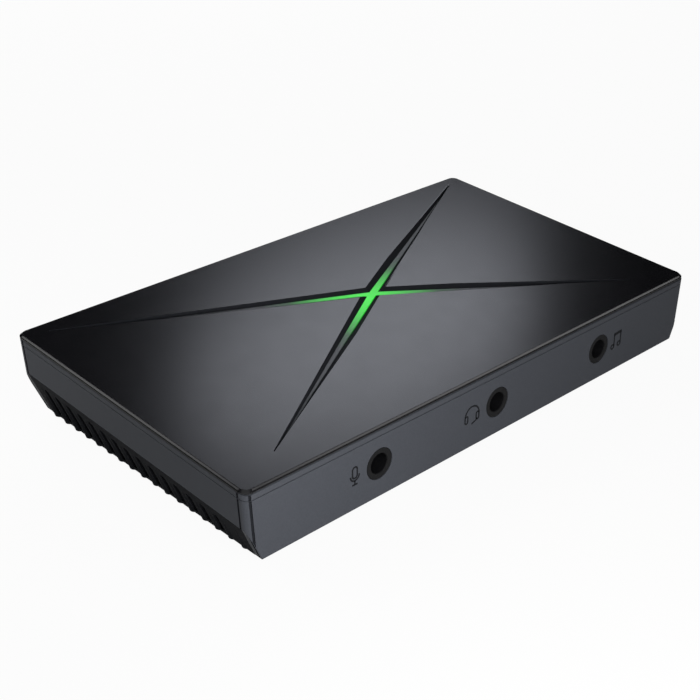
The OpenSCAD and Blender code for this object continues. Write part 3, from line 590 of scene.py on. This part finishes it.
sky = bpy.data.worlds.new("studio_sky")
sky.use_nodes = True
bpy.context.scene.world = sky
tree = sky.node_tree
dim = tree.nodes["Background"]
dim.inputs["Color"].default_value = (1, 1, 1, 1)
dim.inputs["Strength"].default_value = SKY_LIGHT
white = add(tree, "Background", {"Color": (1, 1, 1, 1), "Strength": 1.0})
whiteness = seen_share(tree, 1.0, MIRRORED_SKY)
mixed = add(tree, "MixShader", {}, {0: whiteness, 1: dim.outputs[0], 2: white.outputs[0]})
tree.links.new(mixed.outputs[0], tree.nodes["World Output"].inputs["Surface"])
print("floor", FLOOR_SIDE, "m, sky light", SKY_LIGHT)

# %% [markdown]
# A glossy black lid shows whatever stands behind it. Photographers hang black cloth there and let one soft
# lamp through, which draws the lid's broad, fading sheen. The cloth here is part of a dome that only
# mirror-like rays can see, so it shades nothing and shows only as the dark of the lid.

# %% Black cloth behind the box
CLOTH_RADIUS = 1.5
CLOTH_FRONT = 0.55
CLOTH_RINGS = 24
TOWARDS_CAMERA = Vector((-0.69, -0.72, 0.0)).normalized()
bm = bmesh.new()
bmesh.ops.create_uvsphere(bm, u_segments=2 * CLOTH_RINGS, v_segments=CLOTH_RINGS, radius=CLOTH_RADIUS)
for cut_at, cut_along in (((0, 0, 0), (0, 0, -1)), (TOWARDS_CAMERA * CLOTH_FRONT, TOWARDS_CAMERA)):
    whole = bm.verts[:] + bm.edges[:] + bm.faces[:]
    bmesh.ops.bisect_plane(bm, geom=whole, plane_co=cut_at, plane_no=cut_along, clear_outer=True)
cloth = new_object("black_cloth", bm)
finish, *_ = start_finish(
    "black_velvet", Roughness=1.0, Specular_IOR_Level=0.0, Base_Color=linear("#050505")
)
cloth.data.materials.append(finish)
for ray in ("camera", "diffuse", "transmission", "volume_scatter", "shadow"):
    setattr(cloth, "visible_" + ray, False)
print("cloth of", len(cloth.data.polygons), "faces")

# %% [markdown]
# Six soft lamps. Three are there to be mirrored: one for the sheen on the lid, and a strip each for the left
# and the front edge of the lid, which read as thin bright lines. A strip lies along the path that the
# mirrored view sweeps while the eye runs along the edge. The other three only light the walls: a key from
# the front left, a small lamp at the left and a broad one behind. Their own images in the lid would glare,
# so mirrored rays don't see them. Each lamp is given by its place, the point it looks at, its two sides, its
# roll and the brightness of its face, from which its power follows. Lengths are in millimetres.

# %% Lamps
LAMPS = {
    "sheen_lamp": ((608, 573, 562), (0, 0, 15), (340, 182), 27, 2.9, "#f0f4ff"),
    "left_edge_lamp": ((-527, 591, 463), (-55, 0, 15), (420, 200), 29, 2.2, "#ffffff"),
    "front_edge_lamp": ((582, -506, 478), (0, -30, 15), (600, 200), -32, 2.6, "#ffffff"),
    "key_lamp": ((-68, -124, 54), (-30, -30, 8), (80, 80), 0, 15.5, "#ffffff"),
    "left_lamp": ((-92, 78, 75), (-55, 30, 10), (60, 60), 0, 8.5, "#ffffff"),
    "rear_lamp": ((250, 400, 200), (20, 0, 8), (400, 400), 0, 4.0, "#ffffff"),
}
LIGHT_ONLY = ("key_lamp", "left_lamp", "rear_lamp")
for name, (place, target, sides, roll, brightness, hex_colour) in LAMPS.items():
    lamp = bpy.data.lights.new(name, "AREA")
    lamp.shape = "ELLIPSE"
    lamp.size, lamp.size_y = sides[0] * MM, sides[1] * MM
    lamp.color = linear(hex_colour)[:3]
    area = math.pi * lamp.size * lamp.size_y / 4
    lamp.energy = brightness * math.pi * area
    holder = bpy.data.objects.new(name, lamp)
    holder.location = Vector(place) * MM
    aim = (Vector(target) - Vector(place)).to_track_quat("-Z", "Y").to_matrix()
    holder.rotation_euler = (aim @ Matrix.Rotation(math.radians(roll), 3, "Z")).to_euler()
    holder.visible_camera = False
    holder.visible_glossy = name not in LIGHT_ONLY
    bpy.context.scene.collection.objects.link(holder)
print("lamps:", ", ".join(LAMPS))

# %% [markdown]
# The camera stands front left of the box and looks down on it, as the photograph does. Its place, direction
# and lens were found from the corners of the body, so the frame needs no shift. A tracking constraint could
# aim it, but a fixed turn is exact.

# %% Camera
CAMERA_SIDE, CAMERA_UP = math.radians(-43.6075), math.radians(27.733)
CAMERA_PLACE = Vector((-156.39, -158.74, 122.78)) * MM
CAMERA_LENS = 70.0
SENSOR_WIDTH = 36.0
level = math.cos(CAMERA_UP)
towards = Vector((math.sin(CAMERA_SIDE) * level, -math.cos(CAMERA_SIDE) * level, math.sin(CAMERA_UP)))
lens = bpy.data.cameras.new("photo_camera")
lens.lens = CAMERA_LENS
lens.sensor_width = SENSOR_WIDTH
lens.clip_start = 5 * MM
camera = bpy.data.objects.new("photo_camera", lens)
camera.location = CAMERA_PLACE
camera.rotation_euler = (-towards).to_track_quat("-Z", "Y").to_euler()
bpy.context.scene.collection.objects.link(camera)
bpy.context.scene.camera = camera
bpy.context.scene.view_settings.view_transform = "Standard"
print("camera at mm", [round(v / MM, 1) for v in camera.location])

# %% [markdown]

# %% Finish
print("scene built")
